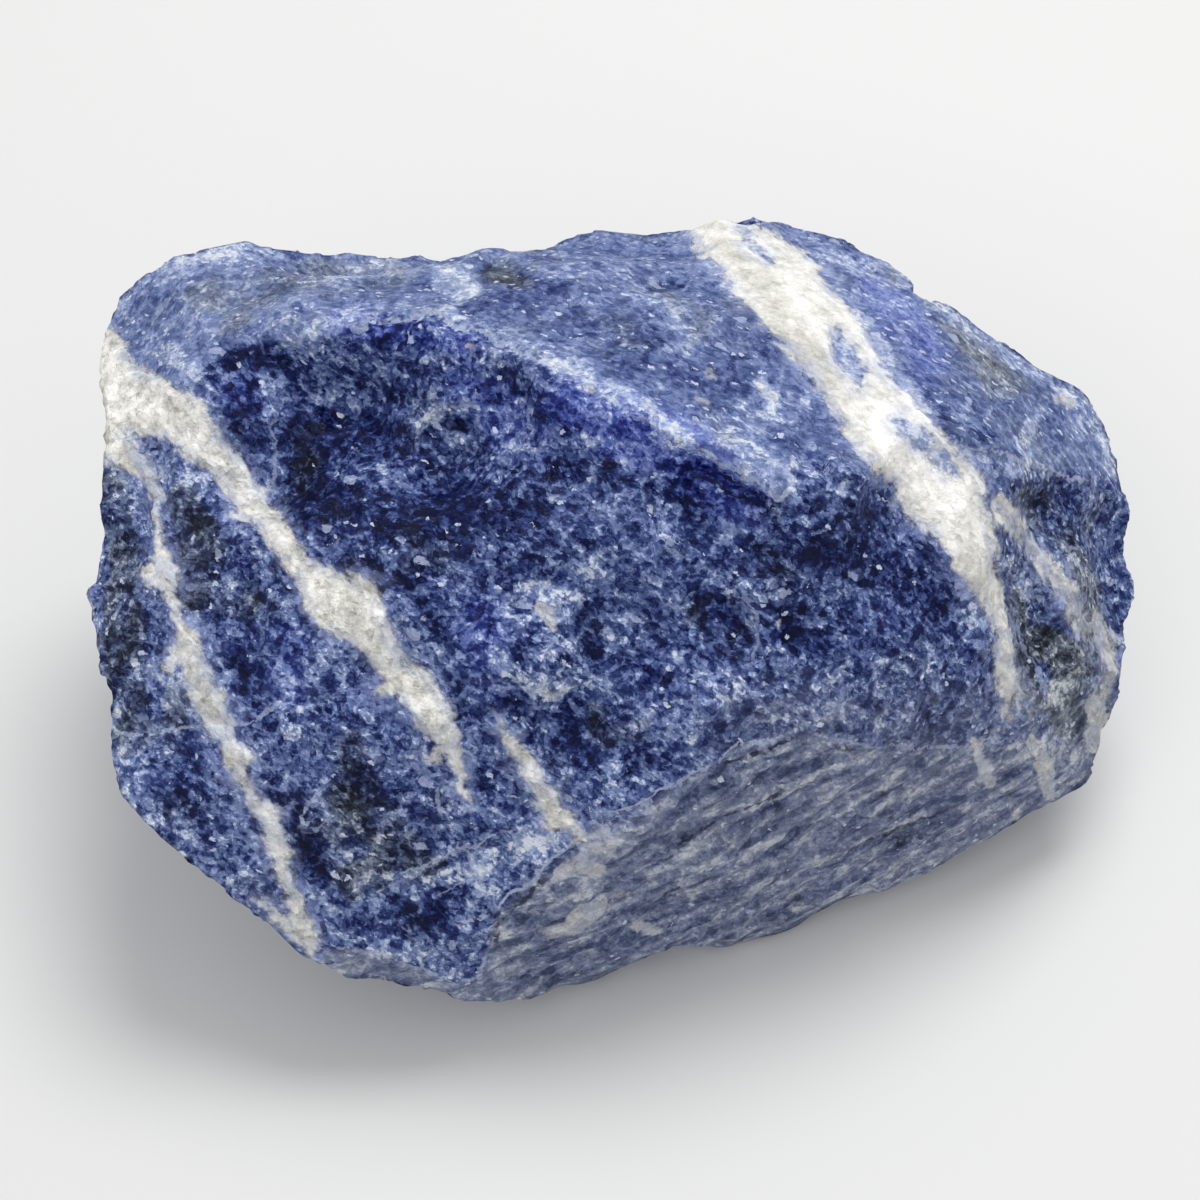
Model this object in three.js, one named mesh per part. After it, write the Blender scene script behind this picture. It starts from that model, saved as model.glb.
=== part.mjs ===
// A lump of rough sodalite: a broken block of deep blue rock, about as long as a finger,
// resting on a small flat spot. It is one natural piece, so the model is one solid.
//
// The form is a field, roughly the distance in millimetres to the broken surface: the hull
// of the block's corners, dished and notched by the fractures that shaped it, with a low
// relief of broken steps all over. A dual contour of that field makes the mesh.
//
// Frame: millimetres, +X to the right along the block, +Y to the back, +Z up.
// The origin is the middle of the block's footprint, on the surface that it rests on.

import * as THREE from "three";
import { ConvexHull } from "three/addons/math/ConvexHull.js";
import { ImprovedNoise } from "three/addons/math/ImprovedNoise.js";

// ---- driving dimensions, mm ----

// Corners of the block, [x, y, z].
const CREST = [
  [-30, 11, 36], [-21, 10, 38.5], [-13.5, 7.5, 40], [-4, 1.5, 40.5], [5.5, -4.5, 40],
  [11.5, -8, 39],
];
const BACK_RIM = [
  [-39.6, 21.6, 29.8], [-35.5, 23.7, 32.8], [-28.5, 25.2, 34.7], [7, 23.2, 36], [13.5, 25.3, 35.4],
  [17, 25.2, 34.7], [24.6, 22.6, 32.4], [30, 18.5, 30],
];
const RIGHT_END = [
  [34, 15.1, 27.5], [38, 16, 24.6], [39.2, 12.2, 22.6], [40.8, 6, 20], [42, 1, 16.5], [40.4, -3, 14],
  [37.6, -7, 10.5], [37, -9.5, 6], [25, -1, 36.5], [27.5, -6, 30],
];
const LEFT_END = [
  [-36.4, -20.2, 19], [-39.3, -13, 22], [-38, -5, 25], [-40.6, 4, 28], [-39, 12, 27],
  [-33.2, -23, 17],
];
const FRONT_EDGE = [
  [-24, -26.5, 12.2], [-20, -29.3, 9.1], [-12, -29.2, 5], [-10, -27, 9], [-7.5, -24.5, 14],
  [-2.5, -23, 19], [3.5, -22, 21.5], [9, -18.5, 23.5], [17, -16, 22.5], [29.5, -10.5, 19],
];
const FOOT = [
  [-11, -19, -0.5], [-3.5, -24.5, 0.5], [9.6, -22.7, 0], [21, -15.8, 2.3], [31.5, -11.8, 4.4],
  [23, -9, -0.5], [20, 10, -0.8], [4, 16, -0.8], [-14, 12, -0.8], [-18, -4, -0.8],
];
const BACK_FOOT = [
  [-35, 17, 14], [-25, 22.5, 11], [-6, 24.5, 8], [14, 23.5, 6], [27, 18, 9], [36, 10, 9], [-36, 2, 13],
  [-29, -13, 8],
];
const CORNERS = [CREST, BACK_RIM, RIGHT_END, LEFT_END, FRONT_EDGE, FOOT, BACK_FOOT].flat();

// Dishes left by shell-like fracture. Each is a trough of round section, `width` across and
// `depth` deep in the block's surface, that runs between two places and opens to `facing`.
const DISHES = [
  {
    name: "dip beside the left horn",
    from: [-22, 22, 34.5], to: [-15.5, 24, 34], facing: [0, 0.6, 1], width: 12, depth: 3.2,
  },
  {
    name: "saddle behind the crest",
    from: [-14, 22, 35], to: [2, 22, 36], facing: [0, 0.5, 1], width: 18, depth: 0.2,
  },
  {
    name: "dip beside the right horn",
    from: [-5, 24, 34.7], to: [4.5, 22.5, 35.7], facing: [0, 0.6, 1], width: 10, depth: 3,
  },
  {
    name: "nick in the right horn",
    from: [9.6, 25.4, 35.3], to: [10, 23.4, 35.8], facing: [0, 0.7, 1], width: 5, depth: 2.4,
  },
  {
    name: "undercut of the crest",
    from: [-29, 7.5, 35], to: [-17, 3.5, 37], facing: [0, -0.66, 0.75], width: 10, depth: 1,
  },
  {
    name: "bowl in the front",
    from: [-15, -12, 27], to: [4, -14, 29], facing: [0, -0.6, 0.8], width: 22, depth: 1,
  },
  {
    name: "recess in the right end",
    from: [28, -5, 29], to: [40, 4, 21], facing: [0.6, -0.6, 0.5], width: 12, depth: 1.3,
  },
  {
    name: "arch under the front",
    from: [2.5, -24, 2], to: [5, -22.5, 2], facing: [0.1, -0.9, -0.5], width: 9, depth: 2.7,
  },
  {
    name: "arch under the right of the front",
    from: [14, -20, 1.5], to: [17, -18, 2], facing: [0.2, -0.8, -0.5], width: 7.5, depth: 1.9,
  },
  {
    name: "scar in the back",
    from: [-14, 25, 22], to: [2, 24, 17], facing: [0.1, 1, -0.1], width: 28, depth: 2.2,
  },
  {
    name: "scar in the left end",
    from: [-39, -4, 17], to: [-37, 12, 19], facing: [-1, 0, -0.3], width: 18, depth: 1.5,
  },
  {
    name: "hollow under the left end",
    from: [-24, -8, 5], to: [-20, 4, 4], facing: [-0.3, 0, -1], width: 18, depth: 1.6,
  },
];

// Notches where a wedge broke away: what lies beyond both `faces`, seen from `at`.
const NOTCHES = [
  {
    name: "step right of the crest's flake",
    at: [12.3, -6.8, 36.9], faces: [[0.38, -0.66, 0.65], [0.94, -0.35, 0.1]],
  },
  {
    name: "step in the back",
    at: [14, 21.4, 20], faces: [[0.25, 0.95, 0], [0.8, 0, -0.6]],
  },
];

// Relief of the broken surface. Each layer is a patchwork of shallow scoops with sharp ridges
// between them, `size` apart and up to `depth` deep.
const SCOOPS = [{ size: 13, depth: 1.1 }, { size: 6.5, depth: 0.55 }];
const SWELL = { size: 19, height: 0.9 }; // slow rise and fall of the whole surface
const WARP = { size: 8, height: 2.2 }; // how far the edges of the cuts wander

const CELL = 2.05; // spacing of the sampling grid, so about the length of a triangle's edge

// ---- the field ----

const perlin = new ImprovedNoise();
const vector = (numbers) => new THREE.Vector3(...numbers);

function noise(p, size, seed) {
  return perlin.noise(p.x / size + seed, p.y / size + 2 * seed, p.z / size + 3 * seed);
}

const hull = new ConvexHull().setFromPoints(CORNERS.map(vector));
const facets = hull.faces.map((face) => new THREE.Plane(face.normal.clone(), -face.constant));

function block(p) {
  return Math.max(...facets.map((facet) => facet.distanceToPoint(p)));
}

// The place on the block's surface that lies from `point` along `direction`.
function onSurface(point, direction) {
  const p = vector(point);
  for (let i = 0; i < 12; i++) p.addScaledVector(direction, -block(p));
  return p;
}

function makeDish({ from, to, facing, width, depth }) {
  const out = vector(facing).normalize();
  const radius = (width * width / 4 + depth * depth) / (2 * depth);
  const lifted = [from, to].map((end) => onSurface(end, out).addScaledVector(out, radius - depth));
  const line = new THREE.Line3(...lifted);
  const nearest = new THREE.Vector3();
  return (p) => radius - line.closestPointToPoint(p, true, nearest).distanceTo(p);
}

function makeNotch({ at, faces }) {
  const corner = vector(at);
  const planes = faces.map((face) =>
    new THREE.Plane().setFromNormalAndCoplanarPoint(vector(face).normalize(), corner));
  return (p) => Math.min(...planes.map((plane) => plane.distanceToPoint(p)));
}

const cuts = [...DISHES.map(makeDish), ...NOTCHES.map(makeNotch)];

function warped(p) {
  const { size, height } = WARP;
  return new THREE.Vector3(noise(p, size, 1.7), noise(p, size, 4.1), noise(p, size, 6.3))
    .multiplyScalar(height).add(p);
}

// A number from 0 to 1 that looks random and is the same each time for the same input.
function scatter(i, j, k, seed) {
  const wave = Math.sin(i * 127.1 + j * 311.7 + k * 74.7 + seed * 53.3) * 43758.5453;
  return wave - Math.floor(wave);
}

// 1 at the middle of a scoop and 0 about where it meets the next one.
function scoop(p, size) {
  const [x, y, z] = [p.x / size, p.y / size, p.z / size];
  const [ci, cj, ck] = [x, y, z].map(Math.floor);
  let nearest = Infinity;
  for (let i = ci - 1; i <= ci + 1; i++)
    for (let j = cj - 1; j <= cj + 1; j++)
      for (let k = ck - 1; k <= ck + 1; k++) {
        const dx = i + scatter(i, j, k, 1) - x;
        const dy = j + scatter(i, j, k, 2) - y;
        const dz = k + scatter(i, j, k, 3) - z;
        nearest = Math.min(nearest, dx * dx + dy * dy + dz * dz);
      }
  return 1 - nearest;
}

function relief(p) {
  const swell = SWELL.height * noise(p, SWELL.size, 5.3);
  return SCOOPS.reduce((sum, { size, depth }) => sum + depth * (scoop(p, size) - 0.6), swell);
}

function stone(p) {
  const w = warped(p);
  const solid = cuts.reduce((depth, cut) => Math.max(depth, cut(w)), block(p));
  return Math.max(solid + relief(p), -p.z);
}

// ---- the dual contour ----

const GRADIENT_STEP = 0.02; // mm
const HALVINGS = 14;
const PULL = 0.05; // how strongly a vertex keeps to the middle of its crossings
const MARGIN = 0.04; // share of a cell's width that a vertex keeps from the cell's walls
const FLOOR = new THREE.Vector3(-Infinity, -Infinity, 0); // nothing of the stone is lower
const AXES = [new THREE.Vector3(1, 0, 0), new THREE.Vector3(0, 1, 0), new THREE.Vector3(0, 0, 1)];

function outward(p) {
  const q = p.clone();
  const rise = AXES.map((axis) => {
    const ahead = stone(q.copy(p).addScaledVector(axis, GRADIENT_STEP));
    return ahead - stone(q.copy(p).addScaledVector(axis, -GRADIENT_STEP));
  });
  return vector(rise).normalize();
}

// Where the surface crosses the segment from `a`, which is inside the stone or not, to `b`.
function crossing(a, b, aInside) {
  const near = a.clone();
  const far = b.clone();
  const middle = new THREE.Vector3();
  for (let i = 0; i < HALVINGS; i++) {
    middle.lerpVectors(near, far, 0.5);
    (stone(middle) < 0 === aInside ? near : far).copy(middle);
  }
  return middle;
}

// The point that lies best on the tangent planes at all of a cell's crossings.
function featurePoint(crossings) {
  const middle = new THREE.Vector3();
  for (const { p } of crossings) middle.addScaledVector(p, 1 / crossings.length);
  let [xx, xy, xz, yy, yz, zz] = [PULL, 0, 0, PULL, 0, PULL];
  const push = new THREE.Vector3();
  for (const { p, n } of crossings) {
    xx += n.x * n.x;
    xy += n.x * n.y;
    xz += n.x * n.z;
    yy += n.y * n.y;
    yz += n.y * n.z;
    zz += n.z * n.z;
    push.addScaledVector(n, n.dot(p) - n.dot(middle));
  }
  const inverse = new THREE.Matrix3().set(xx, xy, xz, xy, yy, yz, xz, yz, zz).invert();
  return middle.add(push.applyMatrix3(inverse));
}

// Where only two opposite corners of a grid face are inside, the mesh would touch itself along
// an edge. Taking the whole face as inside keeps the two sides apart.
function fillPinches(inside, steps) {
  let filled = 0;
  for (let id = 0; id < inside.length; id++)
    for (const [s, t] of [[0, 1], [1, 2], [2, 0]]) {
      const face = [id, id + steps[s], id + steps[s] + steps[t], id + steps[t]];
      const [a, b, c, d] = face.map((n) => inside[n]);
      if (a !== c || b !== d || a === b) continue;
      for (const n of face) inside[n] = true;
      filled++;
    }
  if (filled > 0) fillPinches(inside, steps);
}

// Closed triangle mesh of the field's zero level inside `box`.
function contour(box) {
  const size = box.getSize(new THREE.Vector3()).divideScalar(CELL).ceil().addScalar(1);
  const corner = (i, j, k) => new THREE.Vector3(i, j, k).multiplyScalar(CELL).add(box.min);
  const key = (i, j, k) => i + size.x * (j + size.y * k);
  const inside = [];
  for (let k = 0; k < size.z; k++)
    for (let j = 0; j < size.y; j++)
      for (let i = 0; i < size.x; i++) inside[key(i, j, k)] = stone(corner(i, j, k)) < 0;
  fillPinches(inside, AXES.map((axis) => key(...axis.toArray())));

  const cells = new Map();
  const quads = [];
  const visitEdge = (i, j, k, axis) => {
    const [di, dj, dk] = AXES[axis].toArray();
    const from = inside[key(i, j, k)];
    if (from === inside[key(i + di, j + dj, k + dk)]) return;
    const p = crossing(corner(i, j, k), corner(i + di, j + dj, k + dk), from);
    const hit = { p, n: outward(p) };
    const u = AXES[(axis + 1) % 3];
    const v = AXES[(axis + 2) % 3];
    const ring = [[0, 0], [1, 0], [1, 1], [0, 1]].map(([s, t]) => {
      const cell = [i - s * u.x - t * v.x, j - s * u.y - t * v.y, k - s * u.z - t * v.z];
      const id = key(...cell);
      if (!cells.has(id)) cells.set(id, { cell, hits: [] });
      cells.get(id).hits.push(hit);
      return id;
    });
    quads.push(from ? ring : ring.reverse());
  };
  for (let k = 0; k < size.z - 1; k++)
    for (let j = 0; j < size.y - 1; j++)
      for (let i = 0; i < size.x - 1; i++) [0, 1, 2].forEach((axis) => visitEdge(i, j, k, axis));

  const vertices = [];
  const vertexOf = new Map();
  for (const [id, { cell: [i, j, k], hits }] of cells) {
    const low = corner(i + MARGIN, j + MARGIN, k + MARGIN).max(FLOOR);
    const high = corner(i + 1 - MARGIN, j + 1 - MARGIN, k + 1 - MARGIN);
    vertexOf.set(id, vertices.length);
    vertices.push(featurePoint(hits).clamp(low, high));
  }

  const gap = (m, n) => Math.abs(stone(vertices[m].clone().lerp(vertices[n], 0.5)));
  const triangles = quads.flatMap((quad) => {
    const [a, b, c, d] = quad.map((id) => vertexOf.get(id));
    return gap(a, c) < gap(b, d) ? [a, b, c, a, c, d] : [b, c, d, b, d, a];
  });
  return new THREE.BufferGeometry().setFromPoints(vertices).setIndex(triangles);
}

// ---- the part ----

function makeStone() {
  const box = new THREE.Box3().setFromPoints(CORNERS.map(vector)).expandByScalar(2.5 * CELL);
  const geometry = contour(box);
  geometry.computeBoundingBox();
  const middle = geometry.boundingBox.getCenter(new THREE.Vector3());
  geometry.translate(-middle.x, -middle.y, 0);
  const material = new THREE.MeshStandardMaterial({ color: 0x3f4e92, roughness: 0.55, metalness: 0 });
  const stoneMesh = new THREE.Mesh(geometry, material);
  stoneMesh.name = "sodalite_stone";
  return stoneMesh;
}

const sodalite = new THREE.Group();
sodalite.add(makeStone());

export default sodalite;
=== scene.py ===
"""Looks of the rough sodalite: one broken block of blue rock with white veins, on a pale floor.

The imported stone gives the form. It is copied, made fine and broken up into chips, ledges and
pits, and its surface carries the fields that the rock material reads: how deep a point lies in
a white vein, and how light, grey, pure blue or cream the rock is there.

Lengths are in metres. A place that is given in pixels is in the photograph's 1200 x 1200 frame.
"""

import math
from types import SimpleNamespace

import bpy
import numpy as np
from mathutils import Matrix, Vector, noise
from mathutils.kdtree import KDTree


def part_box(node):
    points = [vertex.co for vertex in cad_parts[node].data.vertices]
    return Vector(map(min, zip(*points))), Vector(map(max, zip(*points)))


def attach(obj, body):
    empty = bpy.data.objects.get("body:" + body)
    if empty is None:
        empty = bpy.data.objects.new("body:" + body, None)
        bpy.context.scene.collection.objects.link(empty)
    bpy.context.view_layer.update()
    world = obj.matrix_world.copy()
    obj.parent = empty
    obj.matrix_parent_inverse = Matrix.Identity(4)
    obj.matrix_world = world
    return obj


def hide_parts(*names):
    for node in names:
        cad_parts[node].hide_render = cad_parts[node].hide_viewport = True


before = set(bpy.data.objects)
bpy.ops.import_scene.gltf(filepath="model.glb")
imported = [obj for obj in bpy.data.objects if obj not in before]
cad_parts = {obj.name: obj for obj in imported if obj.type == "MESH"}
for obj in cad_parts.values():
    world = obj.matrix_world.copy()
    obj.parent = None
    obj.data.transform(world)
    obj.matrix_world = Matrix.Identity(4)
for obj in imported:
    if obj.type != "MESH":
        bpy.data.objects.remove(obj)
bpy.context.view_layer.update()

MM = 0.001

# ---- the camera, as in the photograph ----

FRAME_PX = 1200
FOCAL_PX = 2580.0
SENSOR_MM = 36.0
ELEVATION = math.radians(50)
DISTANCE = 200 * MM
TARGET = Vector((-1.81, 1.83, 18.0)) * MM

BACK = Vector((0, -math.cos(ELEVATION), math.sin(ELEVATION)))
UP = Vector((0, math.sin(ELEVATION), math.cos(ELEVATION)))
RIGHT = Vector((1, 0, 0))
EYE = TARGET + BACK * DISTANCE
PX = DISTANCE / FOCAL_PX  # a pixel's width on the stone

# ---- the white veins: (u, v, half-width), in pixels ----

VEINS = {
    "right_main": [
        (712, 226, 24), (728, 244, 25), (762, 275, 32), (795, 306, 37), (834, 350, 36),
        (862, 392, 33), (890, 429, 35), (920, 462, 37), (942, 492, 40), (963, 526, 29),
        (972, 553, 22), (982, 584, 15), (995, 615, 9), (1003, 655, 12), (1010, 690, 9),
        (1009, 716, 3),
    ],
    "right_strand": [(752, 228, 8), (778, 246, 9), (805, 268, 12)],
    "right_branch": [
        (1000, 505, 12), (1024, 535, 9), (1050, 570, 10), (1070, 600, 9), (1090, 625, 8),
        (1105, 642, 7), (1112, 668, 5),
    ],
    "left_main": [
        (96, 350, 26), (118, 400, 36), (150, 405, 30), (180, 420, 23), (213, 452, 17),
        (240, 490, 16), (262, 515, 15), (285, 545, 14), (300, 565, 15), (325, 590, 24),
        (350, 610, 33), (375, 635, 18), (395, 665, 14), (415, 690, 20), (435, 715, 19),
        (447, 735, 12), (455, 757, 6), (462, 785, 4), (470, 800, 1),
    ],
    "left_hook": [(378, 692, 5), (395, 684, 8)],
    "left_tail": [(445, 748, 5), (430, 762, 3)],
    "far_left": [
        (110, 440, 24), (140, 462, 9), (156, 495, 5), (161, 540, 4), (166, 578, 11),
        (173, 600, 4), (178, 622, 4), (186, 645, 14), (197, 680, 14), (208, 702, 15),
        (219, 722, 12), (228, 740, 6), (238, 760, 13), (241, 776, 7), (247, 787, 3),
        (254, 800, 8), (268, 816, 12), (275, 840, 10), (282, 870, 7), (290, 890, 6),
        (298, 915, 8), (306, 932, 9), (312, 948, 6),
    ],
    "far_left_lobe": [(184, 652, 12), (168, 662, 9)],
    "far_left_patch": [(150, 574, 7), (166, 578, 10)],
    "far_left_rim": [(255, 900, 3), (275, 917, 5), (296, 938, 6), (310, 952, 4)],
    "short": [
        (500, 722, 3), (510, 740, 6), (522, 760, 8), (535, 777, 10), (545, 797, 12),
        (556, 814, 12), (570, 827, 8), (581, 838, 5),
    ],
}

# Blue islands inside the veins.
ISLANDS = {
    "upper": [(837, 335, 5), (845, 352, 11), (856, 372, 8), (858, 388, 3)],
    "middle": [(898, 424, 8), (918, 440, 9), (940, 458, 7), (958, 475, 3)],
    "gap": [(740, 224, 3), (757, 246, 5), (776, 262, 3)],
}

# ---- strokes of light, dark, grey and cream: (strength, *path of (u, v, half-width)) ----

LIGHT = [
    # The strokes along the crest and the plate's edge are partly a pale band of the rock and
    # partly painted highlight.
    (0.35, (238, 336, 5), (262, 330, 7), (290, 322, 9)),
    (0.4, (300, 342, 6), (322, 330, 10), (350, 318, 12), (380, 312, 11)),
    (0.45, (400, 311, 6), (430, 315, 7), (470, 330, 8), (500, 343, 9), (545, 361, 8)),
    (0.7, (545, 361, 8), (580, 382, 9), (620, 398, 9), (650, 416, 9), (690, 445, 6)),
    (0.5, (325, 322, 8), (350, 315, 10)),
    (0.6, (440, 325, 10), (470, 334, 9)),
    (0.45, (730, 440, 14), (762, 468, 16), (775, 485, 8)),
    (0.55, (690, 446, 5), (735, 470, 5), (778, 495, 6), (790, 485, 5), (797, 462, 4)),
    (0.3, (581, 365, 6), (643, 372, 7), (666, 381, 8), (705, 392, 10)),
    (0.5, (739, 408, 5), (770, 416, 6), (800, 427, 5)),
    (0.8, (758, 385, 8), (774, 405, 8)),
    (0.8, (440, 290, 8), (455, 275, 12), (470, 290, 10), (450, 310, 6)),
    (0.3, (510, 262, 8), (560, 275, 12), (620, 262, 12), (640, 300, 12)),
    (0.6, (690, 235, 8), (715, 262, 10), (735, 290, 10)),
    (0.5, (655, 300, 10), (675, 315, 14), (690, 340, 12)),
    (0.4, (110, 300, 8), (125, 305, 12), (135, 325, 10)),
    (0.5, (150, 345, 10), (175, 355, 12), (190, 372, 8)),
    (0.35, (185, 300, 8), (205, 305, 7)),
    (0.5, (180, 262, 7), (230, 250, 7), (270, 250, 7)),
    (0.5, (800, 235, 9), (830, 255, 9), (870, 275, 10)),
    (0.6, (858, 318, 12), (880, 350, 14)),
    (1.25, (885, 360, 8), (902, 382, 10), (925, 408, 8)),
    (0.2, (900, 300, 18), (930, 345, 20)),
    # Painted light on the lower half of the right vein, which gets less light from the lamps.
    (1.0, (885, 425, 18), (915, 458, 22), (945, 495, 22)),
    (0.7, (100, 360, 18), (125, 398, 22), (165, 412, 12)),
    (0.4, (940, 300, 7), (1000, 350, 7), (1040, 378, 7)),
    (0.4, (1070, 425, 10), (1090, 450, 10)),
    (0.4, (1055, 545, 10), (1080, 575, 14), (1105, 590, 12)),
    (0.4, (1020, 590, 9), (1040, 615, 8)),
    (0.45, (1085, 735, 10), (1100, 715, 9)),
    (0.45, (1060, 385, 10), (1085, 402, 10), (1100, 440, 7), (1112, 470, 7)),
    (0.6, (1040, 410, 8), (1030, 430, 8), (1020, 445, 7)),
    (0.5, (960, 455, 8), (1000, 468, 12), (1040, 470, 7)),
    (0.6, (805, 400, 8), (822, 396, 8)),
    (0.6, (868, 325, 7), (893, 372, 12), (920, 408, 9), (945, 440, 6)),
    (0.75, (837, 335, 6), (845, 352, 12), (856, 372, 10), (858, 388, 5)),
    (0.9, (898, 424, 10), (918, 440, 12), (940, 458, 10), (958, 475, 5)),
    (0.9, (740, 224, 6), (757, 246, 9), (776, 262, 6)),
    (0.8, (415, 452, 5), (420, 430, 6), (437, 412, 6), (462, 402, 6), (488, 408, 5)),
    (0.45, (500, 445, 7), (530, 445, 7), (560, 440, 7), (600, 440, 5), (630, 440, 7)),
    (0.5, (640, 490, 11), (660, 485, 9)),
    (0.9, (545, 498, 4), (565, 500, 4), (590, 508, 3)),
    (0.75, (500, 640, 11), (505, 610, 9), (520, 590, 9), (550, 590, 11), (580, 600, 7)),
    (0.85, (500, 660, 11), (525, 680, 9), (550, 692, 7), (575, 688, 4)),
    (0.6, (535, 660, 13), (560, 640, 11)),
    (0.8, (590, 572, 7), (597, 555, 5)),
    (0.5, (602, 640, 10), (620, 640, 9)),
    (0.35, (700, 690, 18), (740, 690, 16), (780, 700, 18), (830, 690, 18), (880, 680, 18),
            (930, 660, 16)),
    (0.4, (780, 720, 12), (830, 715, 12), (880, 720, 12)),
    (0.7, (405, 878, 4), (440, 858, 4), (475, 842, 5), (510, 832, 5), (545, 820, 5)),
    # Painted light on the bevel over the left of the lower crease, which turns away from the
    # lamps.
    (1.2, (430, 882, 7), (480, 864, 11), (515, 850, 16), (550, 838, 9)),
    (0.8, (490, 885, 16), (474, 908, 10)),
    (0.3, (390, 880, 14), (415, 890, 12)),
    (0.5, (470, 870, 16), (505, 858, 20), (540, 848, 12)),
    (0.4, (440, 900, 7), (470, 920, 7), (490, 900, 5)),
    (0.3, (240, 742, 10), (290, 725, 14), (330, 700, 18)),
    (0.35, (290, 270, 12), (340, 275, 14), (400, 270, 10)),
    (0.45, (1060, 690, 14), (1040, 720, 14), (1075, 745, 12)),
    (0.3, (290, 620, 16), (320, 660, 22), (360, 690, 16)),
    (0.5, (385, 625, 6), (410, 655, 7)),
    (0.5, (215, 515, 9), (240, 530, 9), (270, 560, 7)),
    (0.35, (180, 470, 14), (200, 490, 12)),
    (0.4, (250, 790, 6), (230, 800, 7)),
    (0.35, (225, 880, 12), (260, 900, 10)),
    (0.3, (225, 590, 12), (250, 610, 10)),
    (0.4, (690, 845, 14), (725, 845, 12)),
    (0.5, (505, 930, 10), (520, 900, 12), (545, 880, 9)),
]
# Many dark strokes lie in the pits and hollows of the relief below: their darkness there is
# painted shade.
DARK = [
    (0.45, (500, 300, 26), (580, 320, 34), (660, 350, 34), (740, 380, 22)),
    (0.6, (600, 725, 14), (620, 745, 16)),
    (0.5, (715, 620, 18), (730, 650, 14)),
    # Painted shade in the hollow under the crest's ledge on the left.
    (1.0, (225, 360, 12), (255, 355, 13), (285, 365, 9), (300, 385, 7)),
    (0.7, (240, 390, 18), (250, 430, 16), (250, 460, 10)),
    (1.3, (300, 430, 14), (312, 450, 18), (300, 480, 14), (330, 490, 12)),
    (1.2, (275, 500, 6), (275, 510, 8)),
    (0.7, (380, 332, 11), (410, 332, 11), (430, 345, 10)),
    (0.3, (370, 350, 16), (420, 370, 12)),
    (0.7, (450, 424, 9), (470, 427, 9)),
    (0.5, (430, 470, 22), (460, 500, 22), (500, 480, 17)),
    (0.7, (330, 425, 20), (375, 440, 26), (420, 450, 20)),
    (0.35, (340, 520, 30), (400, 540, 40), (480, 540, 40), (560, 530, 30)),
    (0.95, (505, 372, 8), (530, 392, 11), (560, 410, 12), (590, 430, 8)),
    (0.5, (540, 420, 10), (570, 452, 10)),
    (0.6, (560, 470, 16), (600, 455, 16), (610, 480, 15)),
    # Painted shadow under the plate at the end of the crest.
    (1.0, (680, 465, 6), (710, 480, 9), (745, 495, 8), (770, 505, 6)),
    (0.5, (690, 510, 13), (720, 520, 13)),
    (0.8, (790, 512, 8), (830, 502, 10), (860, 522, 18), (820, 550, 22), (870, 570, 22),
           (920, 590, 18), (940, 610, 8)),
    (0.6, (780, 560, 16), (790, 590, 13)),
    (0.95, (786, 612, 9), (796, 640, 6)),
    (1.2, (588, 610, 7), (590, 630, 10), (598, 650, 8)),
    (0.9, (490, 625, 4), (490, 640, 4)),
    (1.0, (512, 697, 7), (522, 700, 7)),
    (0.8, (575, 700, 5), (590, 705, 5)),
    (0.8, (700, 595, 5), (690, 615, 4), (720, 590, 5), (735, 615, 7), (745, 640, 6)),
    (0.8, (690, 650, 5), (710, 660, 4)),
    (0.7, (660, 640, 6), (662, 648, 6)),
    (0.8, (652, 673, 7), (662, 677, 7)),
    (0.6, (690, 670, 6), (660, 610, 5)),
    (0.5, (560, 740, 12), (590, 760, 12), (620, 770, 10), (650, 760, 10)),
    (0.6, (165, 500, 11), (200, 510, 13), (225, 540, 13)),
    (0.5, (108, 470, 8), (115, 520, 14), (130, 545, 14)),
    (0.35, (120, 590, 18), (118, 660, 20), (130, 730, 18)),
    (0.6, (200, 600, 13), (225, 620, 12), (250, 600, 15)),
    (0.8, (235, 650, 9), (240, 680, 10), (245, 700, 7)),
    (0.6, (130, 640, 13), (120, 680, 10), (150, 700, 13), (160, 720, 9), (130, 720, 8)),
    (0.5, (190, 760, 12), (200, 780, 12), (170, 790, 10)),
    (0.6, (290, 800, 11), (310, 780, 10), (300, 760, 7)),
    (1.0, (345, 800, 12), (352, 752, 10), (370, 790, 14), (392, 800, 10)),
    (0.9, (308, 850, 12), (320, 872, 10)),
    (0.35, (360, 830, 20), (390, 850, 18)),
    (0.45, (120, 640, 12), (118, 680, 12)),
    (0.6, (400, 900, 10), (410, 930, 15), (440, 912, 10)),
    (0.55, (1020, 500, 9), (1050, 500, 14), (1080, 520, 14), (1060, 550, 14)),
    (1.2, (1045, 640, 8), (1060, 625, 8), (1080, 620, 6)),
    (0.8, (1066, 700, 4), (1078, 694, 5), (1080, 730, 6)),
    (0.8, (490, 268, 5), (485, 280, 4)),
    (0.9, (528, 276, 5), (512, 285, 4)),
    (0.9, (650, 285, 4), (665, 280, 5), (682, 282, 4)),
    (0.4, (665, 245, 6), (668, 258, 6)),
    (0.7, (452, 303, 3), (472, 320, 3)),
    (0.6, (760, 340, 8), (775, 360, 8), (770, 380, 6)),
    (0.7, (940, 420, 8), (970, 440, 10), (990, 440, 7)),
    # Painted shadow just below the edge of the lower crease.
    (0.7, (496, 920, 3), (520, 897, 3), (560, 860, 2)),
]
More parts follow.
